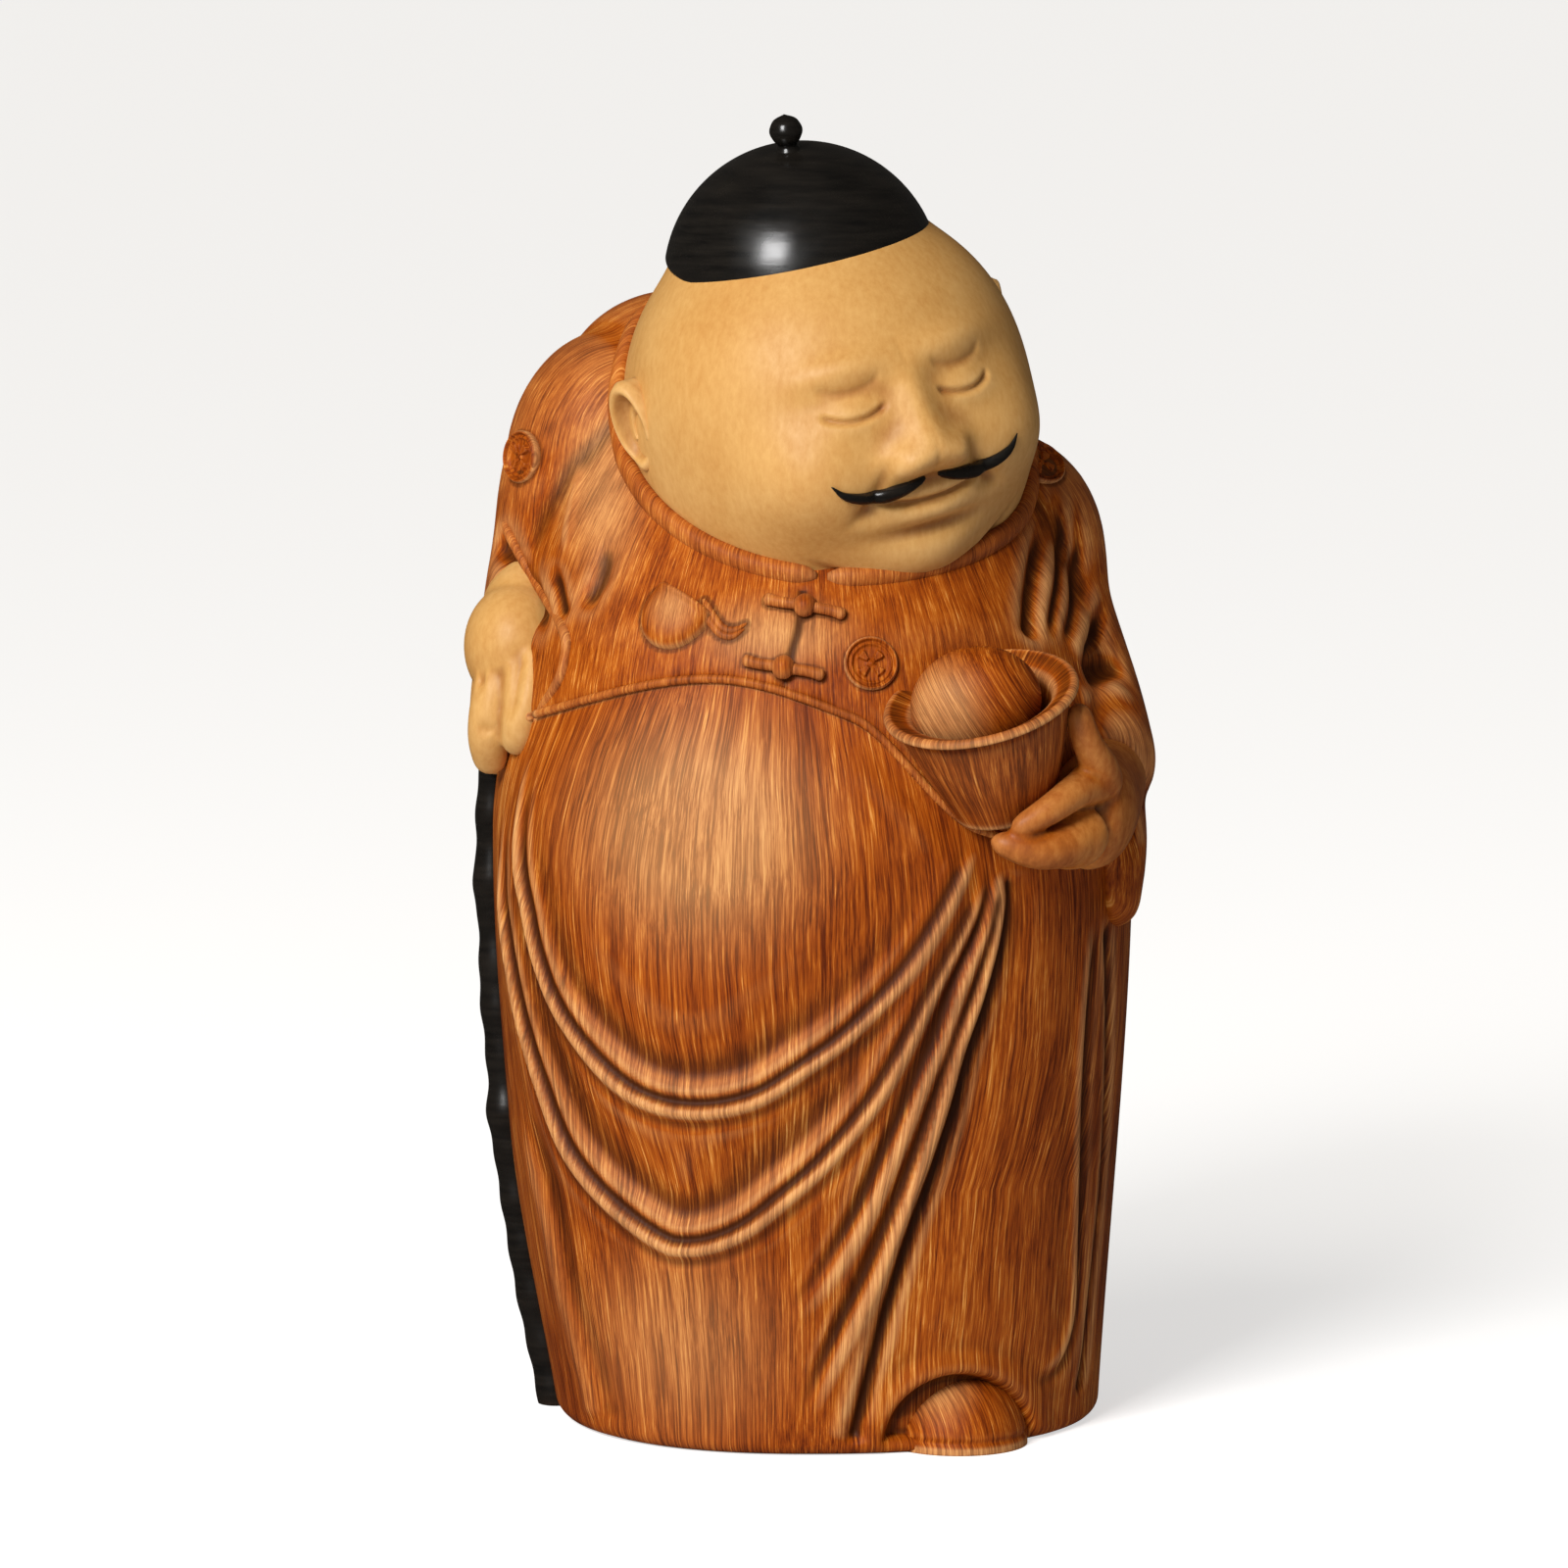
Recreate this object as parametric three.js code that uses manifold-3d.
// A standing figurine of a stout landlord: a carved wooden body in a long draped robe and a short jacket,
// a light wooden head in a black skull cap, one hand closed on a cane and the other under a money ingot.
// Millimetres, +Z up. The figure faces -Y, its left hand is at +X and the origin is under the base.
import * as THREE from "three";
import { mergeVertices } from "three/addons/utils/BufferGeometryUtils.js";
import Module from "manifold-3d";

const wasm = await Module();
wasm.setup();
const degree = Math.PI / 180;

// Fits between the pieces
const seatGap = 0.3; // glue line between two carved faces
const dowelGap = 0.2; // play of a dowel in its bore

// Torso heights, each step counted from the one below
const waistHeight = 108;
const chestRise = 37;
const throatRise = 13;
const shoulderStep = 14;
const napeRise = 34;
const chestHeight = waistHeight + chestRise;
const throatHeight = chestHeight + throatRise;
const shoulderHeight = throatHeight + shoulderStep;
const napeHeight = shoulderHeight + napeRise;
const upperHeight = shoulderHeight - waistHeight;
const shoulderLift = 14; // the right shoulder stands this much above the left one

// Torso half widths and depths at those heights
const rightHemHalfWidth = 46.3;
const leftHemHalfWidth = 53.5;
const rightKneeHalfWidth = 55;
const waistHalfWidth = 57.5;
const leftWaistExtraWidth = 2; // the left side of the waist stands this much further out
const chestHalfWidth = 51.5;
const shoulderHalfWidth = 40;
const napeHalfWidth = 12;
const hemFront = 49;
const bellyFront = 58.5;
const chestFront = 51;
const throatFront = 43;
const napeFront = 6;
const hemBack = 45;
const waistBack = 48.5;
const shoulderBack = 48;
const napeBack = 17;
const torsoSquareness = 2.25; // 2 is an ellipse, more is squarer
const torsoColumns = 28;
const frontCrowding = 0.25; // how much closer the columns lie at the front

// Robe: its core carries the jacket, and its folds all run to one gather under the left hand
const robeEdge = 2.5; // rounding of the lower edge
const coreRise = 12; // of the core's top above the shoulder
const foldProud = 1.6;
const swagRadius = 2.8;
const foldRadius = 2.5;

// Jacket
const jacketWall = 4;
const jacketProud = 0.8;
const jacketEdge = 1.5; // height of the rounded hem edge
const hemBackRise = 4; // above the waist
const hemRightRise = 14;
const hemCrestDrop = 5.2; // below the chest
const hemLeftDrop = 4; // below the waist
const cuffRadius = 12.5;

// Collar
const collarRadius = 2;
const collarOpening = 3; // degrees each side of the front

// Head: a broad jowl with a smaller round skull above it
const headX = 3.6;
const headY = -16;
const headSink = 20; // of the jowl's middle below the nape
const headYaw = 25 * degree;
const headRoll = -13 * degree;
const headPitch = 4 * degree;
const jowlHalfWidth = 36.8;
const jowlDepth = 36.8;
const jowlDrop = 39.5;
const jowlRise = 37;
const jowlSquareness = 2.15;
const headBlend = 20; // the higher, the sharper the change from jowl to skull
const headColumns = 32;
const headRows = 27;
const faceCrowding = 0.5; // how much closer the head's columns lie on the face
const browCrowding = 0.18; // how much closer its rows lie between brow and chin
const earHeight = 17;
const earDepth = 9.5;
const earThickness = 6;

// Face, on even thirds from the cap's rim to the chin, measured along the front of the jowl
const faceThird = 17.9;
const chinDrop = 22.5; // of the chin below the middle of the jowl
const eyeSpread = 11; // from the middle of the face to an eye
const cheekSpread = 20;

// Cap and its knob, tipped over the brow
const capTip = 9 * degree;
const skullRadius = 22.8;
const skullRise = 23.2; // of the skull's middle above the jowl's middle
const skullBack = 5;
const capRimRise = 6.8; // of the cap's rim above the skull's middle
const capWall = 1.9;
const knobRadius = 3;
const knobHeight = 6.5;
const knobStemRadius = 1.5;
const knobStemLength = 9; // below the bead

// Moustache
const whiskerRadius = 1.5;

// Cane
const caneRadius = 3.2;
const caneKnotRadius = 4;
const caneRise = 16; // of the cane's top above the waist
const caneStand = 0.5; // of the cane's axis outside the robe

// Hands
const palmRadius = 9.6;
const wristRadius = 6;
const fingerRadius = 4.4;

// Ingot: a round cup with a domed middle
const ingotAcross = 0.605; // place of the cup's foot on the upper body
const ingotAhead = 0.906;
const ingotUp = 0.156;
const ingotTilt = 20 * degree; // towards the viewer
const ingotRoll = -13 * degree;
const cupHeight = 22;
const cupRimRadius = 17;
const cupFootRadius = 9;
const cupWall = 2.4;
const cupFloor = 10.5; // from the foot to the hollow
const domeHalfLength = 11.6;
const domeHalfWidth = 9;
const domeHalfHeight = 10;

// Shoe
const shoeAcross = 0.505; // share of the left half width at the hem
const shoeHalfWidth = 12.6;
const shoeHalfLength = 13;
const shoeHeight = 13.2;
const shoeReach = 4.8; // past the robe's hem

// Trim on the jacket
const frogLength = 15;
const frogCordRadius = 1.1;
const frogKnotRadius = 1.9;
const roundelRadius = 4.8;
const roundelRim = 1;
const roundelThickness = 1.4;
const purseWidth = 12;
const purseHeight = 11;
const purseThickness = 1.8;
const purseBevel = 0.6;
const trimSink = 0.2; // how far the back of a trim lies below the surface it is fitted to

// Dowels
const neckDowelRadius = 4;
const neckDowelLength = 26;
const smallDowelRadius = 2;
const rightWristDowelLength = 16;
const leftWristDowelLength = 12;
const ingotDowelLength = 16;

// Materials
const wood = (color, roughness) => new THREE.MeshStandardMaterial({ color, roughness, metalness: 0 });
const robeWood = wood(0xa8622e, 0.5);
const paleWood = wood(0xe3ac66, 0.5);
const handWood = wood(0x9a5626, 0.45);
const blackLacquer = wood(0x17130f, 0.22);
const dowelWood = wood(0xd2b283, 0.7);

// A smooth curve through [position, value] points that never swings past them
function profile(points) {
  const xs = points.map((point) => point[0]);
  const ys = points.map((point) => point[1]);
  const last = xs.length - 1;
  const chord = (i) => (ys[i + 1] - ys[i]) / (xs[i + 1] - xs[i]);
  const slopes = xs.map((_, i) => {
    if (i === 0) return chord(0);
    if (i === last) return chord(last - 1);
    const product = chord(i - 1) * chord(i);
    return product <= 0 ? 0 : (2 * product) / (chord(i - 1) + chord(i));
  });
  return (x) => {
    const clamped = THREE.MathUtils.clamp(x, xs[0], xs[last]);
    let i = 0;
    while (i < last - 1 && clamped > xs[i + 1]) i += 1;
    const step = xs[i + 1] - xs[i];
    const t = (clamped - xs[i]) / step;
    const rise = t * t * (3 - 2 * t);
    const bend = step * (slopes[i] * t * (1 - t) * (1 - t) - slopes[i + 1] * t * t * (1 - t));
    return ys[i] + (ys[i + 1] - ys[i]) * rise + bend;
  };
}

// A closed tube: place(angle, row, onAxis) gives each point of the rows and of the two end middles
function skin(columns, rows, place) {
  const geometry = new THREE.CylinderGeometry(1, 1, 1, columns, rows - 1);
  const position = geometry.attributes.position;
  for (let i = 0; i < position.count; i += 1) {
    const across = position.getX(i);
    const ahead = position.getZ(i);
    const row = Math.round((position.getY(i) + 0.5) * (rows - 1));
    const onAxis = Math.hypot(across, ahead) < 0.5;
    const point = place(Math.atan2(across, ahead), row, onAxis);
    position.setXYZ(i, point.x, point.y, point.z);
  }
  return geometry;
}

// Values at even shares of a length
const spread = (values) => profile(values.map((value, i) => [i / (values.length - 1), value]));

// A round limb along a curve, its two half thicknesses given at each share of the length.
// The first one lies towards sideways(middle), as far as the curve's direction lets it.
const alongX = () => new THREE.Vector3(1, 0, 0);
const awayFromAxis = (point) => new THREE.Vector3(point.x, point.y, 0).normalize();

function limb(points, acrossRadius, alongRadius, rows, columns, sideways = alongX) {
  const path = new THREE.CatmullRomCurve3(points.map((point) => new THREE.Vector3(...point)));
  return skin(columns, rows, (angle, row, onAxis) => {
    const share = row / (rows - 1);
    const middle = path.getPointAt(share);
    if (onAxis) return middle;
    const ahead = path.getTangentAt(share);
    const across = sideways(middle);
    across.addScaledVector(ahead, -across.dot(ahead)).normalize();
    const along = across.clone().cross(ahead);
    return middle
      .addScaledVector(across, acrossRadius(share) * Math.sin(angle))
      .addScaledVector(along, alongRadius(share) * Math.cos(angle));
  });
}

// A stretched ball
function ball(centre, radii, columns = 12, rows = 8) {
  const geometry = new THREE.SphereGeometry(1, columns, rows);
  return geometry.scale(...radii).translate(...centre);
}

// A rod with round or flat ends between two points
function rod(from, to, radius, roundEnds = true) {
  const start = new THREE.Vector3(...from);
  const end = new THREE.Vector3(...to);
  const length = start.distanceTo(end);
  const geometry = roundEnds
    ? new THREE.CapsuleGeometry(radius, length, 2, 6)
    : new THREE.CylinderGeometry(radius, radius, length, 12);
  const turn = new THREE.Quaternion().setFromUnitVectors(
    new THREE.Vector3(0, 1, 0),
    end.clone().sub(start).normalize(),
  );
  const middle = start.add(end).multiplyScalar(0.5);
  return geometry.applyQuaternion(turn).translate(middle.x, middle.y, middle.z);
}

// Closed geometry to solid, and back
function solidOf(geometry) {
  const bare = geometry.clone();
  bare.deleteAttribute("normal");
  bare.deleteAttribute("uv");
  const welded = mergeVertices(bare, 1e-4);
  const corners = welded.index.array;
  const triangles = [];
  for (let i = 0; i < corners.length; i += 3) {
    const [a, b, c] = [corners[i], corners[i + 1], corners[i + 2]];
    if (a !== b && b !== c && c !== a) triangles.push(a, b, c);
  }
  return new wasm.Manifold(
    new wasm.Mesh({
      numProp: 3,
      vertProperties: Float32Array.from(welded.attributes.position.array),
      triVerts: Uint32Array.from(triangles),
    }),
  );
}

function geometryOf(solid) {
  const mesh = solid.getMesh();
  const geometry = new THREE.BufferGeometry();
  geometry.setAttribute("position", new THREE.BufferAttribute(Float32Array.from(mesh.vertProperties), 3));
  geometry.setIndex(new THREE.BufferAttribute(Uint32Array.from(mesh.triVerts), 1));
  geometry.computeVertexNormals();
  return geometry;
}

const joined = (geometries) => geometries.map(solidOf).reduce((whole, solid) => whole.add(solid));
const cut = (solid, cutters) => cutters.reduce((rest, cutter) => rest.subtract(cutter), solid);

// A cut can leave crumbs beside the piece; the piece is the largest body
function largest(solid) {
  const bodies = solid.decompose();
  return bodies.reduce((best, body) => (body.volume() > best.volume() ? body : best));
}

// A solid drawn in an object's own frame, carried to the figure's frame or back
const outOf = (object, solid) => solidOf(geometryOf(solid).applyMatrix4(object.matrixWorld));
const into = (object, solid) => solidOf(geometryOf(solid).applyMatrix4(object.matrixWorld.clone().invert()));

const figurine = new THREE.Group();

function addPiece(parent, name, solid, material) {
  const mesh = new THREE.Mesh(geometryOf(largest(solid)), material);
  mesh.name = name;
  parent.add(mesh);
  return mesh;
}

function frameAt(position, rotation, parent = figurine) {
  const frame = new THREE.Group();
  frame.position.set(...position);
  frame.rotation.copy(rotation);
  parent.add(frame);
  frame.updateWorldMatrix(true, false);
  return frame;
}

// A place on the upper body, in shares of the waist's half width, of the belly's depth
// and of the way from the waist to the shoulder
const bodyPlace = (across, ahead, up) => [
  across * waistHalfWidth,
  -ahead * bellyFront,
  waistHeight + up * upperHeight,
];

// Torso form: a squared ellipse at each height, deeper in front than behind
const rightHalfWidth = profile([
  [0, rightHemHalfWidth],
  [waistHeight / 2, rightKneeHalfWidth],
  [waistHeight, waistHalfWidth],
  [chestHeight, chestHalfWidth],
  [shoulderHeight, shoulderHalfWidth],
  [napeHeight, napeHalfWidth],
]);
const leftHalfWidth = profile([
  [0, leftHemHalfWidth],
  [waistHeight, waistHalfWidth + leftWaistExtraWidth],
  [chestHeight, chestHalfWidth],
  [shoulderHeight, shoulderHalfWidth],
  [napeHeight, napeHalfWidth],
]);
const frontDepth = profile([
  [0, hemFront],
  [waistHeight, bellyFront],
  [chestHeight, chestFront],
  [throatHeight, throatFront],
  [napeHeight, napeFront],
]);
const backDepth = profile([
  [0, hemBack],
  [waistHeight, waistBack],
  [shoulderHeight, shoulderBack],
  [napeHeight, napeBack],
]);

// Angles run from the front towards the figure's left
function torsoRadius(angle, height) {
  const lift = shoulderLift * THREE.MathUtils.smoothstep(height, waistHeight, shoulderHeight);
  const width = Math.sin(angle) > 0 ? leftHalfWidth(height) : rightHalfWidth(height - lift);
  const depth = Math.cos(angle) > 0 ? frontDepth(height) : backDepth(height);
  const across = Math.abs(Math.sin(angle) / width) ** torsoSquareness;
  const along = Math.abs(Math.cos(angle) / depth) ** torsoSquareness;
  return (across + along) ** (-1 / torsoSquareness);
}

function torsoPoint(angle, height, proud = 0) {
  const radius = torsoRadius(angle, height) + proud;
  return new THREE.Vector3(radius * Math.sin(angle), -radius * Math.cos(angle), height);
}

// Columns lie closer together at the front, where the carving is
const frontward = (angle) => angle - frontCrowding * Math.sin(angle);

const hemBackHeight = waistHeight + hemBackRise;
const hemLeftHeight = waistHeight - hemLeftDrop;
const hemCrestHeight = chestHeight - hemCrestDrop;
const hemFall = hemCrestHeight - hemLeftHeight;
const hemByAngle = profile([
  [-180, hemBackHeight],
  [-90, waistHeight + hemRightRise],
  [-54, hemCrestHeight - 0.21 * hemFall],
  [-18, hemCrestHeight],
  [8, hemCrestHeight - 0.18 * hemFall],
  [30, hemLeftHeight + 0.25 * hemFall],
  [70, hemLeftHeight],
  [180, hemBackHeight],
]);
const hemHeight = (angle) => hemByAngle(angle / degree);

// Robe below the jacket's hem, and the narrower core above it
function robeBody(grow) {
  const lowerRows = 8;
  const upperRows = 4;
  const coreTop = shoulderHeight + coreRise + grow;
  const edge = { share: 0, from: 0, to: 0, proud: grow - robeEdge };
  return skin(torsoColumns, 1 + lowerRows + upperRows, (columnAngle, row, onAxis) => {
    const angle = frontward(columnAngle);
    const hem = hemHeight(angle) + grow;
    const lower = { share: (row - 1) / (lowerRows - 1), from: robeEdge, to: hem, proud: grow };
    const upperShare = (row - 1 - lowerRows) / (upperRows - 1);
    const upper = { share: upperShare, from: hem, to: coreTop, proud: grow - jacketWall };
    const band = row === 0 ? edge : row <= lowerRows ? lower : upper;
    const height = band.from + (band.to - band.from) * band.share;
    if (onAxis) return new THREE.Vector3(0, 0, height);
    return torsoPoint(angle, height, band.proud);
  });
}

// One raised fold along stations of [degrees from the front, share of the waist's height],
// thinning out and sinking in at both ends
function robeFold(radius, stations) {
  const steps = 13;
  const chart = new THREE.SplineCurve(stations.map((station) => new THREE.Vector2(...station)));
  const fullness = spread([0.5, 0.95, 1, 1, 0.95, 0.3]);
  const spine = chart.getPoints(steps).map((spot, i) => {
    const sink = (foldProud - radius) * fullness(i / steps);
    return torsoPoint(spot.x * degree, spot.y * waistHeight, sink).toArray();
  });
  const thickness = (share) => radius * fullness(share);
  return limb(spine, thickness, thickness, steps, 6, awayFromAxis);
}

// Two swags under the belly, two straight folds that leave the same gather, and the edge by the left shoe
const robeFolds = [
  robeFold(swagRadius, [
    [29, 1.02], [18, 0.84], [5.5, 0.71], [-8, 0.62], [-21, 0.59], [-34, 0.62], [-48.5, 0.745],
    [-56, 0.9], [-58, 1.07],
  ]),
  robeFold(swagRadius, [
    [30.5, 0.99], [20, 0.76], [10.5, 0.595], [0, 0.48], [-12, 0.39], [-25, 0.35], [-35, 0.395], [-49, 0.51],
    [-58, 0.67], [-63, 0.79], [-67, 0.95],
  ]),
  robeFold(foldRadius, [[33, 0.99], [27.5, 0.81], [21.8, 0.65], [15, 0.5], [5.2, 0.32], [-4.5, 0.21]]),
  robeFold(foldRadius, [[35, 0.985], [30.5, 0.78], [25, 0.61], [17.5, 0.41], [9.5, 0.22], [3, 0.04]]),
  robeFold(foldRadius, [[56, 0.88], [55, 0.59], [58.5, 0.28], [57, 0.15], [50, 0.13]]),
];

// Head form in its own frame, looking along -Y from the middle of the jowl
const headHeight = napeHeight - headSink;
const headFrame = frameAt([headX, headY, headHeight], new THREE.Euler(headPitch, headRoll, headYaw, "ZYX"));
const capFrame = frameAt([0, 0, 0], new THREE.Euler(capTip, 0, 0), headFrame);
const skullMiddle = new THREE.Vector3(0, skullBack, skullRise).applyEuler(capFrame.rotation);

// Places of the features up the face
const noseBaseUp = faceThird - chinDrop;
const browUp = noseBaseUp + faceThird;
const eyeUp = browUp - 0.37 * faceThird;
const mouthUp = noseBaseUp - 0.39 * faceThird;
const secondChinUp = -chinDrop - 0.65 * faceThird;

// Raised and sunk spots of the face: place across and up, then spreads and height as shares of a third
const faceSpots = [
  [0.95 * eyeSpread, browUp, 0.36, 0.13, 0.1],
  [eyeSpread, eyeUp + 0.05 * faceThird, 0.33, 0.19, -0.13],
  [eyeSpread, eyeUp, 0.26, 0.16, 0.16],
  [0, eyeUp - 0.06 * faceThird, 0.15, 0.25, 0.15],
  [0, noseBaseUp + 0.13 * faceThird, 0.2, 0.18, 0.31],
  [0.44 * eyeSpread, noseBaseUp + 0.06 * faceThird, 0.13, 0.12, 0.18],
  [cheekSpread, noseBaseUp - 0.05 * faceThird, 0.5, 0.42, 0.26],
  [0, mouthUp - 0.11 * faceThird, 0.32, 0.1, 0.11],
  [0, -chinDrop, 0.42, 0.22, 0.18],
  [0, 0.5 * (secondChinUp - chinDrop), 0.8, 0.1, -0.09],
  [0, secondChinUp, 0.95, 0.22, 0.12],
];

// Height of the carved face above the plain form, the same on both sides
function faceRelief(direction) {
  const turn = Math.acos(THREE.MathUtils.clamp(-direction.y, -1, 1));
  if (turn > 2) return 0;
  const stretch = turn < 1e-3 ? jowlDepth : (turn / Math.sin(turn)) * jowlDepth;
  const across = Math.abs(direction.x * stretch);
  const up = direction.z * stretch;
  return faceSpots.reduce((sum, [spotAcross, spotUp, wide, tall, height]) => {
    const a = (across - spotAcross) / (wide * faceThird);
    const b = (up - spotUp) / (tall * faceThird);
    return sum + height * faceThird * Math.exp(-(a * a + b * b) / 2);
  }, 0);
}

function headRadius(direction, grow) {
  const flat = Math.hypot(direction.x / jowlHalfWidth, direction.y / jowlDepth);
  const upright = Math.abs(direction.z) / (direction.z > 0 ? jowlRise : jowlDrop);
  const jowl = (flat ** jowlSquareness + upright ** jowlSquareness) ** (-1 / jowlSquareness);
  const toSkull = direction.dot(skullMiddle);
  const chord = toSkull * toSkull - skullMiddle.lengthSq() + skullRadius * skullRadius;
  const skull = toSkull > 0 && chord > 0 ? toSkull + Math.sqrt(chord) : 0;
  const form = (jowl ** headBlend + skull ** headBlend) ** (1 / headBlend);
  return form + faceRelief(direction) + grow;
}

// A ball pushed out to the head's form, its rows and columns closer together on the face
function headForm(grow, columns = headColumns, rows = headRows) {
  const geometry = new THREE.SphereGeometry(1, columns, rows);
  const position = geometry.attributes.position;
  for (let i = 0; i < position.count; i += 1) {
    const angle = Math.atan2(position.getX(i), position.getZ(i));
    const fall = Math.acos(THREE.MathUtils.clamp(position.getY(i), -1, 1));
    const turned = angle - faceCrowding * Math.sin(angle);
    const lowered = fall + browCrowding * Math.sin(2 * fall);
    const flat = Math.sin(lowered);
    const direction = new THREE.Vector3(flat * Math.sin(turned), -flat * Math.cos(turned), Math.cos(lowered));
    direction.multiplyScalar(headRadius(direction, grow));
    position.setXYZ(i, direction.x, direction.y, direction.z);
  }
  return geometry;
}

function ear(side) {
  const shell = ball([0, 0, 0], [earThickness / 2, earDepth / 2, earHeight / 2], 10, 8);
  const hollowSize = [earThickness / 2, earDepth * 0.3, earHeight * 0.3];
  const hollow = ball([side * earThickness * 0.55, -earDepth * 0.12, earHeight * 0.05], hollowSize, 8, 6);
  const solid = solidOf(shell).subtract(solidOf(hollow));
  const place = new THREE.Matrix4()
    .makeTranslation(side * (jowlHalfWidth - earThickness * 0.25), earDepth * 0.3, earHeight * 0.35)
    .multiply(new THREE.Matrix4().makeRotationZ(side * -22 * degree));
  return solidOf(geometryOf(solid).applyMatrix4(place));
}

const headWithEars = solidOf(headForm(0)).add(ear(1)).add(ear(-1));
const headGrown = outOf(headFrame, solidOf(headForm(seatGap)));
// The bowl in the robe's core is hidden, so it is plainer and a little wider
const bowlGap = 2.5;
const headBowl = outOf(headFrame, solidOf(headForm(bowlGap, 16, 14)));

// Jacket body and sleeves
function jacketBody(grow) {
  const rows = 7;
  return skin(torsoColumns, rows, (columnAngle, row, onAxis) => {
    const angle = frontward(columnAngle);
    const hem = hemHeight(angle) + seatGap - grow;
    const share = Math.max(0, (row - 1) / (rows - 2));
    const height = row === 0 ? hem : hem + jacketEdge + (napeHeight - hem - jacketEdge) * share;
    if (onAxis) return new THREE.Vector3(0, 0, height);
    return torsoPoint(angle, height, row === 0 ? grow : grow + jacketProud);
  });
}

// Sleeves: half widths are shares of the cuff's radius
const sleeveWidth = (shares, grow) => spread(shares.map((share) => share * cuffRadius + grow));
const rightSleevePath = [
  bodyPlace(-0.417, -0.051, 1.297),
  bodyPlace(-0.635, -0.017, 1.156),
  bodyPlace(-0.713, -0.009, 0.984),
  bodyPlace(-0.788, 0.034, 0.766),
  bodyPlace(-0.835, 0.154, 0.531),
];
const rightSleeveShares = [0.88, 1.3, 1.22, 1.02, 1];
const leftSleevePath = [
  bodyPlace(0.435, -0.034, 1.078),
  bodyPlace(0.687, -0.017, 0.898),
  bodyPlace(0.783, 0.034, 0.625),
  bodyPlace(0.873, 0.154, 0.359),
  bodyPlace(0.913, 0.41, 0.156),
];
const leftSleeveShares = [0.64, 1.08, 0.86, 0.87, 0.9];

function sleeve(path, shares, grow) {
  const width = sleeveWidth(shares, grow);
  return limb(path, width, (share) => width(share) * (1 + 0.15 * share), 7, 10);
}

// The hanging part of a cuff, as deep as wide times the given share
function drape(path, shares, deep, grow) {
  const width = sleeveWidth(shares, grow);
  return limb(path, width, (share) => deep * width(share), 5, 9);
}

const rightDrapePath = [
  bodyPlace(-0.8, 0.171, 0.688),
  bodyPlace(-0.826, 0.325, 0.531),
  bodyPlace(-0.852, 0.427, 0.3),
];
const leftDrapePath = [
  bodyPlace(0.922, 0.205, 0.25),
  bodyPlace(0.957, 0.342, 0),
  bodyPlace(0.965, 0.393, -0.25),
];

// The right shoulder rises behind the head
const shoulderPlace = bodyPlace(-0.417, -0.137, 1.219);
const shoulderRadii = [0.383 * waistHalfWidth, 0.359 * bellyFront, 0.3125 * upperHeight];
const shoulderMound = (grow) => ball(shoulderPlace, shoulderRadii.map((radius) => radius + grow), 12, 9);

const sleeveForms = (grow) => [
  shoulderMound(grow),
  sleeve(rightSleevePath, rightSleeveShares, grow),
  drape(rightDrapePath, [0.64, 0.62, 0.2], 1.1, grow),
  sleeve(leftSleevePath, leftSleeveShares, grow),
  drape(leftDrapePath, [0.56, 0.52, 0.32], 1.5, grow),
];

// Collar line: all round the head, the highest place where its surface is still inside the jacket
const shoulderMiddle = new THREE.Vector3(...shoulderPlace);
const shoulderSize = new THREE.Vector3(...shoulderRadii);
const sleeveLimits = [
  [rightSleevePath, rightSleeveShares],
  [leftSleevePath, leftSleeveShares],
].flatMap(([path, shares]) => {
  const curve = new THREE.CatmullRomCurve3(path.map((point) => new THREE.Vector3(...point)));
  const width = sleeveWidth(shares, 0);
  return [0, 0.1, 0.2, 0.3, 0.4].map((share) => ({ middle: curve.getPointAt(share), radius: width(share) }));
});

function insideJacket(point) {
  const angle = Math.atan2(point.x, -point.y);
  const inTorso = Math.hypot(point.x, point.y) < torsoRadius(angle, point.z) + jacketProud;
  const inMound = point.clone().sub(shoulderMiddle).divide(shoulderSize).length() < 1;
  const inSleeve = sleeveLimits.some(({ middle, radius }) => point.distanceTo(middle) < radius);
  return (inTorso && point.z < napeHeight) || inMound || inSleeve;
}

function collarPoint(turn) {
  const toHead = headFrame.matrixWorld.clone().invert();
  const middle = new THREE.Vector3(headX, headY, headHeight);
  const onHead = (rise) => {
    const flat = Math.cos(rise);
    const direction = new THREE.Vector3(flat * Math.sin(turn), -flat * Math.cos(turn), Math.sin(rise));
    const own = direction.clone().transformDirection(toHead);
    return middle.clone().addScaledVector(direction, headRadius(own, seatGap + collarRadius / 2));
  };
  let low = -80 * degree;
  let high = 60 * degree;
  for (let i = 0; i < 24; i += 1) {
    const rise = (low + high) / 2;
    if (insideJacket(onHead(rise))) low = rise;
    else high = rise;
  }
  return onHead(low);
}

function collarTube() {
  const stations = 22;
  const first = collarOpening * degree;
  const spine = [];
  for (let i = 0; i <= stations; i += 1) {
    spine.push(collarPoint(first + ((2 * Math.PI - 2 * first) * i) / stations));
  }
  const section = new THREE.Shape().absarc(0, 0, collarRadius, 0, 2 * Math.PI);
  return new THREE.ExtrudeGeometry(section, {
    steps: stations,
    curveSegments: 3,
    bevelEnabled: false,
    extrudePath: new THREE.CatmullRomCurve3(spine),
  });
}

// Cane: a knotted stick that follows the robe's right side, half sunk into it, at shares of its height
const caneTop = waistHeight + caneRise;
const caneStations = [1, 0.758, 0.565, 0.419, 0.226, -0.048];
const caneKnots = [0.775, 0.435];

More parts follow.
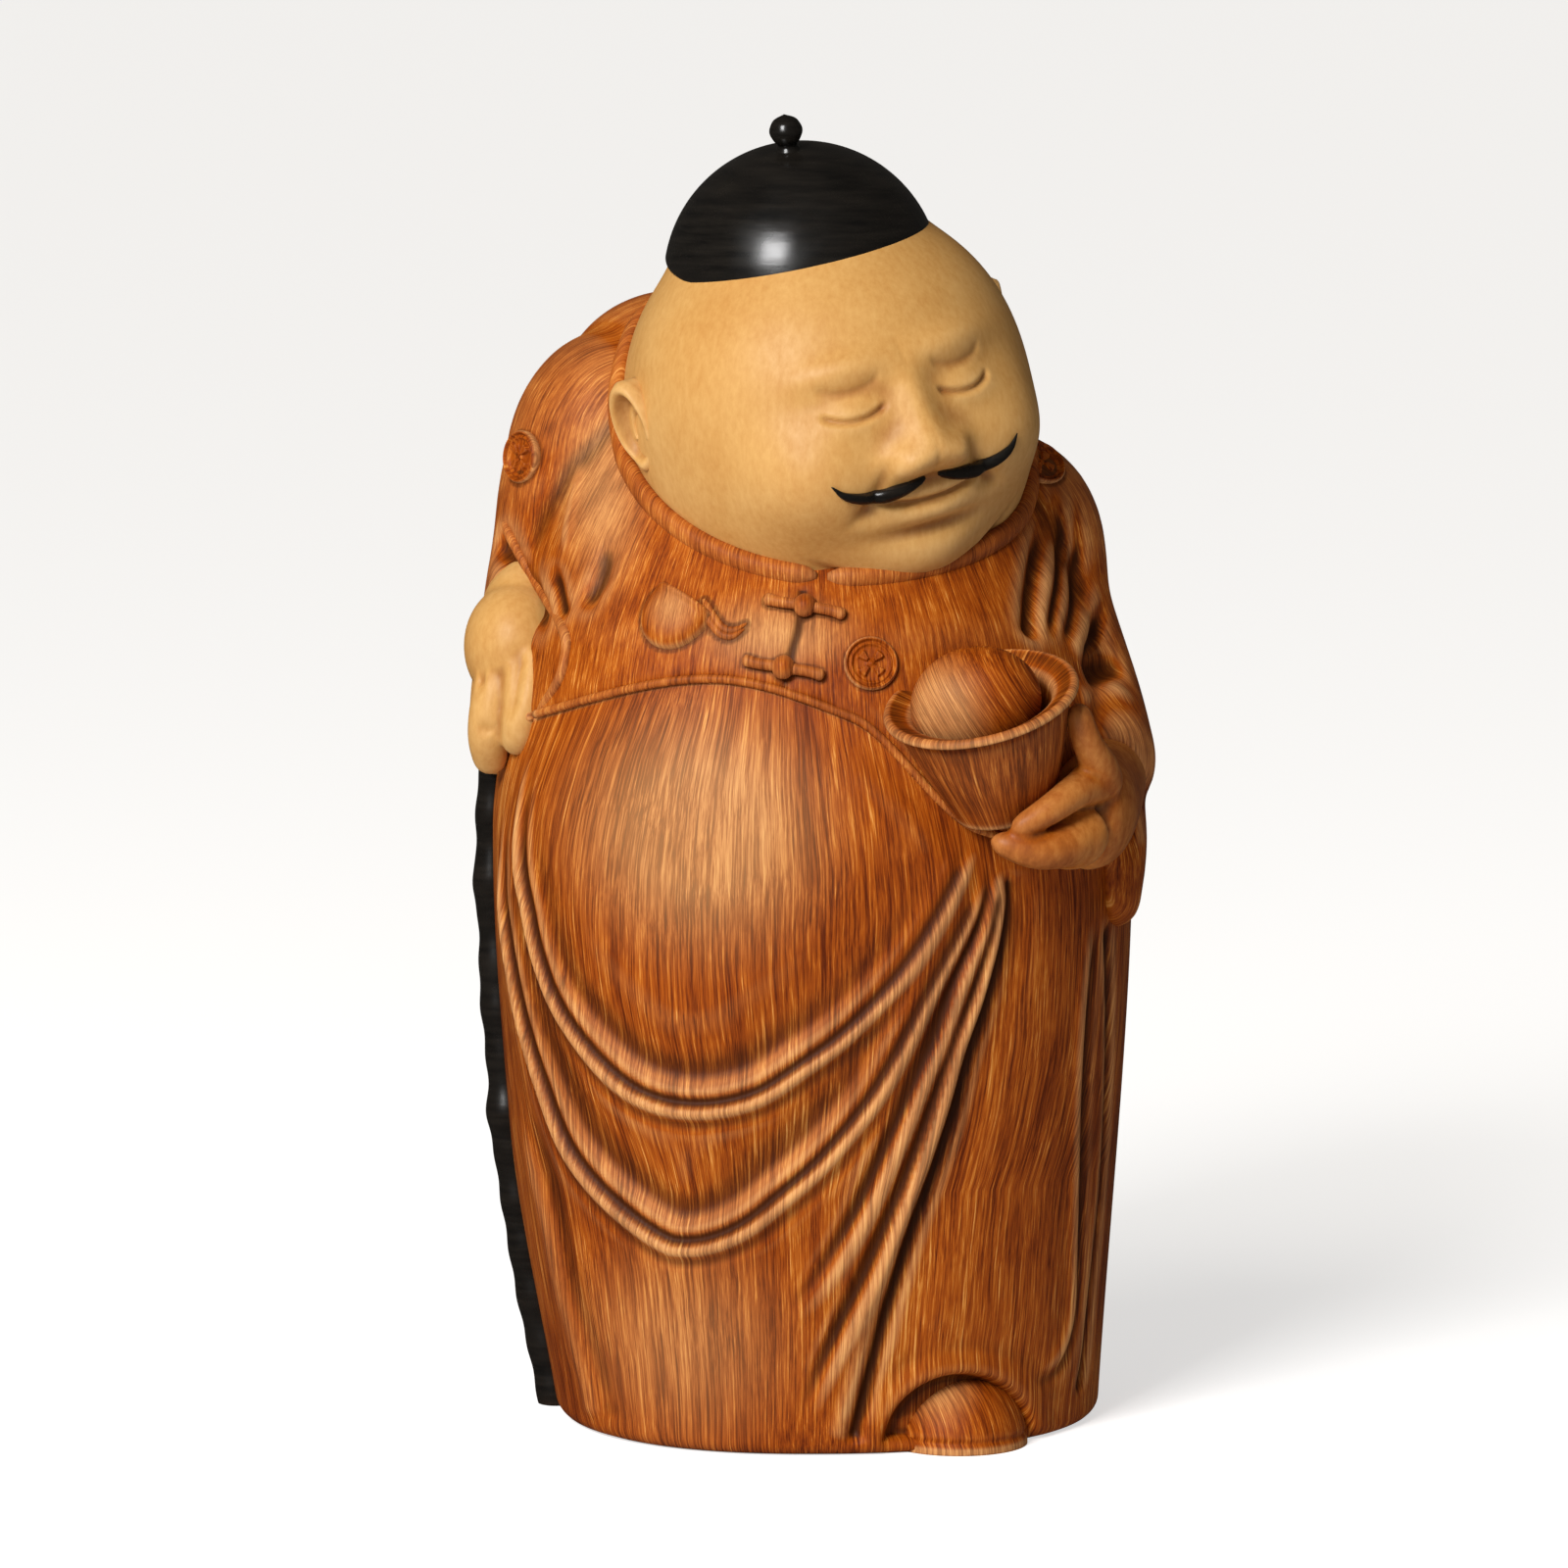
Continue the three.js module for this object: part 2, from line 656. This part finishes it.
function caneForm(grow) {
  const points = caneStations.map((up) => {
    const height = up * caneTop;
    return new THREE.Vector3(-rightHalfWidth(height) - caneStand, 0, height);
  });
  const path = new THREE.CatmullRomCurve3(points);
  const section = new THREE.Shape().absarc(0, 0, caneRadius + grow, 0, 2 * Math.PI);
  const stick = new THREE.ExtrudeGeometry(section, {
    steps: 9,
    curveSegments: 3,
    bevelEnabled: false,
    extrudePath: path,
  });
  const lowest = caneStations.at(-1);
  const knots = caneKnots.map((up) => {
    const spot = path.getPointAt((1 - up) / (1 - lowest));
    const knot = caneKnotRadius + grow;
    return ball(spot.toArray(), [knot, knot, knot], 8, 5);
  });
  return joined([stick, ...knots]);
}

// Everything under the floor is cut off square
function floorBlock() {
  const side = 4 * waistHalfWidth;
  return solidOf(new THREE.BoxGeometry(side, side, side).translate(0, 0, -side / 2));
}

// A finger along a path, its half widths shares of the finger's radius
function finger(points, shares, grow) {
  const width = spread(shares.map((share) => share * fingerRadius + grow));
  return limb(points, width, width, 5, 7);
}

// Dowels and their bores: with play a bore is also longer by the glue line at both ends
function pin(middle, direction, length, radius, play) {
  const half = length / 2 + (play > 0 ? seatGap : 0);
  const along = new THREE.Vector3(...direction).normalize().multiplyScalar(half);
  const centre = new THREE.Vector3(...middle);
  const from = centre.clone().sub(along).toArray();
  return solidOf(rod(from, centre.add(along).toArray(), radius + play, false));
}

// Right hand: the back of the hand, four fingers that close on the cane, and the wrist inside the cuff
function rightHand(grow) {
  const palm = [palmRadius + grow, 1.09 * palmRadius + grow, 1.2 * palmRadius + grow];
  const wrist = spread([wristRadius + grow, 1.15 * wristRadius + grow]);
  return joined([
    ball(bodyPlace(-0.922, 0.248, 0.539), palm, 10, 7),
    limb([bodyPlace(-0.901, 0.154, 0.703), bodyPlace(-0.92, 0.222, 0.5625)], wrist, wrist, 3, 8),
    finger(
      [
        bodyPlace(-0.948, 0.291, 0.516),
        bodyPlace(-0.983, 0.347, 0.406),
        bodyPlace(-1.005, 0.35, 0.297),
        bodyPlace(-1.0, 0.282, 0.184),
      ],
      [1.18, 1.02, 0.89, 0.55],
      grow,
    ),
    finger(
      [
        bodyPlace(-0.877, 0.35, 0.531),
        bodyPlace(-0.885, 0.424, 0.414),
        bodyPlace(-0.908, 0.436, 0.3125),
        bodyPlace(-0.925, 0.385, 0.25),
      ],
      [1.09, 0.95, 0.8, 0.45],
      grow,
    ),
    finger(
      [
        bodyPlace(-0.965, 0.154, 0.5),
        bodyPlace(-1.0, 0.162, 0.375),
        bodyPlace(-1.003, 0.137, 0.25),
        bodyPlace(-0.975, 0.068, 0.164),
      ],
      [1.14, 0.98, 0.86, 0.55],
      grow,
    ),
    finger(
      [
        bodyPlace(-0.957, 0, 0.5),
        bodyPlace(-0.993, -0.026, 0.375),
        bodyPlace(-0.993, -0.06, 0.266),
        bodyPlace(-0.965, -0.077, 0.1875),
      ],
      [1.05, 0.91, 0.8, 0.55],
      grow,
    ),
  ]);
}

// Left hand, placed from the cup's foot in shares of the cup's rim: the palm, the thumb and two fingers
const ingotFoot = bodyPlace(ingotAcross, ingotAhead, ingotUp);
const cupPlace = (across, back, up) => [
  ingotFoot[0] + across * cupRimRadius,
  ingotFoot[1] + back * cupRimRadius,
  ingotFoot[2] + up * cupRimRadius,
];

function leftHand(grow) {
  const palmWidth = spread([0.73, 0.83, 0.98, 0.78].map((share) => share * palmRadius + grow));
  const palmDepth = spread([0.83, 1.09, 1.25, 1.04].map((share) => share * palmRadius + grow));
  const heel = [0.78 * palmRadius + grow, 0.68 * palmRadius + grow, 0.62 * palmRadius + grow];
  return joined([
    limb(
      [
        cupPlace(1.07, 1.65, 0.03),
        cupPlace(1.09, 1, -0.06),
        cupPlace(0.98, 0.35, -0.12),
        cupPlace(0.78, -0.12, -0.2),
      ],
      palmWidth,
      palmDepth,
      5,
      9,
    ),
    ball(cupPlace(0.66, -0.18, -0.41), heel, 8, 6),
    finger(
      [
        cupPlace(1.07, 0.18, 0.12),
        cupPlace(1.07, -0.2, 0.41),
        cupPlace(0.94, -0.44, 0.74),
        cupPlace(0.78, -0.5, 1.07),
      ],
      [1.3, 1.05, 0.86, 0.5],
      grow,
    ),
    finger(
      [
        cupPlace(1.04, 0.06, 0.12),
        cupPlace(0.8, -0.41, 0.08),
        cupPlace(0.45, -0.68, -0.08),
        cupPlace(0.04, -0.79, -0.18),
      ],
      [1.27, 0.95, 0.77, 0.4],
      grow,
    ),
    finger(
      [
        cupPlace(0.89, 0, -0.3),
        cupPlace(0.69, -0.41, -0.36),
        cupPlace(0.31, -0.67, -0.42),
        cupPlace(-0.18, -0.74, -0.3),
      ],
      [1.36, 1.09, 0.84, 0.4],
      grow,
    ),
  ]);
}

// Ingot in its own frame, standing on the cup's foot
const ingotFrame = frameAt(ingotFoot, new THREE.Euler(ingotTilt, ingotRoll, 0, "YXZ"));

function revolved(points, segments = 22) {
  const outline = points.map((point) => new THREE.Vector2(...point));
  return new THREE.LatheGeometry(outline, segments).rotateX(Math.PI / 2);
}

function cupForm(grow, hollow) {
  const flare = [cupFootRadius, 0.68 * cupRimRadius, 0.83 * cupRimRadius, 0.9 * cupRimRadius, cupRimRadius];
  const outside = spread(flare);
  const steps = 6;
  const points = [[0, -grow], [cupFootRadius + grow, -grow]];
  for (let i = 1; i <= steps; i += 1) {
    points.push([outside(i / steps) + grow, (cupHeight * i) / steps]);
  }
  if (hollow) {
    points.push([cupRimRadius - cupWall, cupHeight]);
    points.push([cupRimRadius - 1.7 * cupWall, 0.8 * cupHeight]);
    points.push([domeHalfWidth, cupFloor]);
    points.push([0, cupFloor]);
  } else {
    points.push([cupRimRadius + grow, cupHeight + grow]);
    points.push([0, cupHeight + grow]);
  }
  return revolved(points);
}

function domeForm() {
  const lift = cupFloor + seatGap + domeHalfHeight;
  return ball([0, 0, lift], [domeHalfLength, domeHalfWidth, domeHalfHeight], 16, 10);
}

// Robe, with its folds, the bowl for the head, the groove for the cane and the arch over the shoe
const robeGrown = solidOf(robeBody(seatGap));
const caneGrown = caneForm(seatGap);
const shoeX = shoeAcross * leftHemHalfWidth;
const hemFrontAtShoe = hemFront * (1 - shoeAcross ** torsoSquareness) ** (1 / torsoSquareness);
const shoeForm = (grow) => {
  const radii = [shoeHalfWidth + grow, shoeHalfLength + grow, shoeHeight + grow];
  return ball([shoeX, shoeHalfLength - hemFrontAtShoe - shoeReach, 0], radii, 14, 12);
};
const neckDowel = (play) => pin([0, 0, -jowlDrop], [0, 0, 1], neckDowelLength, neckDowelRadius, play);
const rightWristDowel = (play) =>
  pin(bodyPlace(-0.904, 0.162, 0.703), [3, 9, 18], rightWristDowelLength, smallDowelRadius, play);
const leftWristDowel = (play) =>
  pin(bodyPlace(0.998, 0.427, 0.172), [6, 18, 4], leftWristDowelLength, smallDowelRadius, play);
const ingotDowel = (play) =>
  pin([0, cupFootRadius, cupFloor / 2], [0, 1, 0], ingotDowelLength, smallDowelRadius, play);

const robeSolid = cut(joined([robeBody(0), ...robeFolds]), [
  headBowl,
  caneGrown,
  solidOf(shoeForm(seatGap)),
  outOf(headFrame, neckDowel(dowelGap)),
  outOf(ingotFrame, ingotDowel(dowelGap)),
  rightWristDowel(dowelGap),
  leftWristDowel(dowelGap),
  floorBlock(),
]);
addPiece(figurine, "robe", robeSolid, robeWood);
addPiece(figurine, "left_shoe", solidOf(shoeForm(0)).subtract(floorBlock()), robeWood);
addPiece(figurine, "cane", caneForm(0).subtract(floorBlock()), blackLacquer);

// Jacket
const cupGrown = outOf(ingotFrame, solidOf(cupForm(seatGap, false)));
const rightHandGrown = rightHand(seatGap);
const leftHandGrown = leftHand(seatGap);
const jacketSolid = cut(joined([jacketBody(0), ...sleeveForms(0)]), [
  robeGrown,
  headGrown,
  caneGrown,
  rightHandGrown,
  leftHandGrown,
  rightWristDowel(dowelGap),
  leftWristDowel(dowelGap),
  outOf(ingotFrame, ingotDowel(dowelGap)),
]);
addPiece(figurine, "jacket", jacketSolid, robeWood);
const jacketGrown = joined([jacketBody(seatGap), ...sleeveForms(seatGap)]);
const collarSolid = cut(solidOf(collarTube()), [headGrown, jacketGrown]);
addPiece(figurine, "collar_band", collarSolid, robeWood);

// Hands with their dowels
const rightHandSolid = cut(rightHand(0), [robeGrown, caneGrown, rightWristDowel(dowelGap)]);
addPiece(figurine, "right_hand", rightHandSolid, paleWood);
addPiece(figurine, "right_wrist_dowel", rightWristDowel(0), dowelWood);
const leftHandSolid = cut(leftHand(0), [robeGrown, cupGrown, leftWristDowel(dowelGap)]);
addPiece(figurine, "left_hand", leftHandSolid, handWood);
addPiece(figurine, "left_wrist_dowel", leftWristDowel(0), dowelWood);

// Ingot
const cupSolid = cut(solidOf(cupForm(0, true)), [
  into(ingotFrame, jacketGrown),
  into(ingotFrame, robeGrown),
  ingotDowel(dowelGap),
]);
addPiece(ingotFrame, "ingot_cup", cupSolid, robeWood);
addPiece(ingotFrame, "ingot_dome", cut(solidOf(domeForm()), [into(ingotFrame, jacketGrown)]), robeWood);
addPiece(ingotFrame, "ingot_dowel", ingotDowel(0), dowelWood);

// Head
const knobSeat = skullRise + skullRadius + seatGap + capWall;
function knobForm(grow) {
  const stem = knobStemRadius + grow;
  const beadMiddle = knobSeat + knobHeight / 2;
  const points = [[0, knobSeat - knobStemLength - grow], [stem, knobSeat - knobStemLength - grow]];
  const steps = 8;
  for (let i = 1; i < steps; i += 1) {
    const turn = Math.PI * (i / steps);
    const radius = Math.max(stem, (knobRadius + grow) * Math.sin(turn));
    points.push([radius, beadMiddle - (knobHeight / 2) * Math.cos(turn)]);
  }
  points.push([0, beadMiddle + knobHeight / 2]);
  return solidOf(revolved(points, 14).translate(0, skullBack, 0));
}

// The cap is a ball round the skull, cut off at its rim and hollowed to fit the head
const capRadius = skullRadius + seatGap + capWall;
const belowRim = new THREE.BoxGeometry(4 * capRadius, 4 * capRadius, 4 * capRadius);
belowRim.translate(0, skullBack, skullRise + capRimRise - 2 * capRadius);
const capBall = ball([0, skullBack, skullRise], [capRadius, capRadius, capRadius], 22, 14);
const inCapFrame = (solid) => into(capFrame, outOf(headFrame, solid));
const capSolid = cut(solidOf(capBall), [
  solidOf(belowRim),
  inCapFrame(solidOf(headForm(seatGap))),
  knobForm(dowelGap),
]);
const knobBore = into(headFrame, outOf(capFrame, knobForm(dowelGap)));
const headSolid = cut(headWithEars, [knobBore, neckDowel(dowelGap)]);
addPiece(headFrame, "head", headSolid, paleWood);
addPiece(capFrame, "cap", capSolid, blackLacquer);
addPiece(capFrame, "cap_knob", knobForm(0), blackLacquer);
addPiece(headFrame, "neck_dowel", neckDowel(0), dowelWood);

// Moustache: two tapering whiskers that lie on the face, by shares of a third across and up
const whiskerPath = [[0.08, -0.39], [0.31, -0.46], [0.62, -0.49], [0.9, -0.4], [1.05, -0.26]];

function whisker(side) {
  const path = whiskerPath.map(([across, up]) => {
    const direction = new THREE.Vector3(side * across * faceThird, -jowlDepth, up * faceThird).normalize();
    return direction.multiplyScalar(headRadius(direction, 0.4 * whiskerRadius)).toArray();
  });
  const thickness = spread([0.7 * whiskerRadius, whiskerRadius, 0.9 * whiskerRadius, 0.35 * whiskerRadius]);
  return solidOf(limb(path, thickness, thickness, 8, 8, () => new THREE.Vector3(0, 0, 1)));
}
const headGrownOwn = solidOf(headForm(seatGap));
addPiece(headFrame, "moustache_right", cut(whisker(-1), [headGrownOwn]), blackLacquer);
addPiece(headFrame, "moustache_left", cut(whisker(1), [headGrownOwn]), blackLacquer);

// Trim: a frame on the jacket with +Z outwards and +Y up
function trimFrame(point, outward, spin) {
  const up = new THREE.Vector3(0, 0, 1);
  const across = up.clone().cross(outward).normalize();
  const along = outward.clone().cross(across);
  const basis = new THREE.Matrix4().makeBasis(across, along, outward);
  const turned = basis.multiply(new THREE.Matrix4().makeRotationZ(spin));
  return frameAt(point.toArray(), new THREE.Euler().setFromRotationMatrix(turned));
}

function torsoFrame(angle, height, spin) {
  const step = 1;
  const turn = 2 * degree;
  const onJacket = (around, up) => torsoPoint(angle + around, height + up, jacketProud);
  const up = onJacket(0, step).sub(onJacket(0, -step));
  const side = onJacket(turn, 0).sub(onJacket(-turn, 0));
  return trimFrame(onJacket(0, 0), side.cross(up).normalize(), spin);
}

function seated(frame, solid) {
  return cut(solid, [into(frame, jacketGrown)]);
}

// Frog fastener: a knot between two cord loops
function frogForm() {
  const half = frogLength / 2;
  return joined([
    rod([-half, 0, frogCordRadius - trimSink], [half, 0, frogCordRadius - trimSink], frogCordRadius),
    ball([0, 0, frogKnotRadius - trimSink], [frogKnotRadius, frogKnotRadius, frogKnotRadius], 8, 6),
  ]);
}

// Roundel: a pierced disc with four petal openings inside a plain rim
function roundelForm() {
  const disc = new THREE.Shape().absarc(0, 0, roundelRadius, 0, 2 * Math.PI);
  const petals = 4;
  const petalMiddle = (roundelRadius - roundelRim) / 2;
  const petalHalf = petalMiddle * 0.7;
  for (let i = 0; i < petals; i += 1) {
    const turn = (2 * Math.PI * i) / petals + Math.PI / 4;
    const hole = new THREE.Path();
    const x = petalMiddle * Math.cos(turn);
    const y = petalMiddle * Math.sin(turn);
    hole.absellipse(x, y, petalHalf, petalHalf * 0.55, 0, 2 * Math.PI, true, turn);
    disc.holes.push(hole);
  }
  const plate = new THREE.ExtrudeGeometry(disc, {
    depth: roundelThickness,
    curveSegments: 4,
    bevelEnabled: false,
  });
  return solidOf(plate.translate(0, 0, -trimSink));
}

// Purse: a round pouch drawn in at the neck under a flared mouth
function purseForm() {
  const half = purseWidth / 2;
  const neck = half * 0.45;
  const outline = new THREE.Shape();
  outline.moveTo(-neck, purseHeight * 0.25);
  outline.bezierCurveTo(-half * 1.3, 0, -half * 1.1, -purseHeight * 0.6, 0, -purseHeight * 0.6);
  outline.bezierCurveTo(half * 1.1, -purseHeight * 0.6, half * 1.3, 0, neck, purseHeight * 0.25);
  outline.lineTo(half * 0.8, purseHeight * 0.4);
  outline.lineTo(-half * 0.8, purseHeight * 0.4);
  outline.closePath();
  const plate = new THREE.ExtrudeGeometry(outline, {
    depth: purseThickness - purseBevel,
    bevelSize: purseBevel,
    bevelThickness: purseBevel,
    bevelSegments: 1,
    curveSegments: 6,
  });
  return solidOf(plate.translate(0, 0, -trimSink));
}

// Heights of the chest trim are shares of the way from the chest to the throat
const trimHeight = (share) => chestHeight + share * throatRise;
const upperFrog = torsoFrame(-0.8 * degree, trimHeight(0.58), -14 * degree);
addPiece(upperFrog, "frog_upper", seated(upperFrog, frogForm()), robeWood);
const lowerFrog = torsoFrame(-4.8 * degree, trimHeight(-0.21), -12 * degree);
addPiece(lowerFrog, "frog_lower", seated(lowerFrog, frogForm()), robeWood);
const chestSpot = torsoFrame(12 * degree, trimHeight(-0.15), 0);
addPiece(chestSpot, "chest_roundel", seated(chestSpot, roundelForm()), robeWood);
const purseSpot = torsoFrame(-27.5 * degree, trimHeight(0.5), -30 * degree);
addPiece(purseSpot, "chest_purse", seated(purseSpot, purseForm()), robeWood);

// Shoulder roundels lie on the outside of the sleeves, at a share of the sleeve's length
function sleeveFrame(path, shares, share, towards) {
  const curve = new THREE.CatmullRomCurve3(path.map((point) => new THREE.Vector3(...point)));
  const ahead = curve.getTangentAt(share);
  const outward = new THREE.Vector3(...towards);
  outward.addScaledVector(ahead, -outward.dot(ahead)).normalize();
  const point = curve.getPointAt(share).addScaledVector(outward, sleeveWidth(shares, 0)(share));
  return trimFrame(point, outward, 0);
}
const rightShoulder = sleeveFrame(rightSleevePath, rightSleeveShares, 0.45, [-0.75, -0.62, 0]);
addPiece(rightShoulder, "right_shoulder_roundel", seated(rightShoulder, roundelForm()), robeWood);
const leftShoulder = sleeveFrame(leftSleevePath, leftSleeveShares, 0.27, [0.62, -0.7, 0.3]);
addPiece(leftShoulder, "left_shoulder_roundel", seated(leftShoulder, roundelForm()), robeWood);

export default figurine;
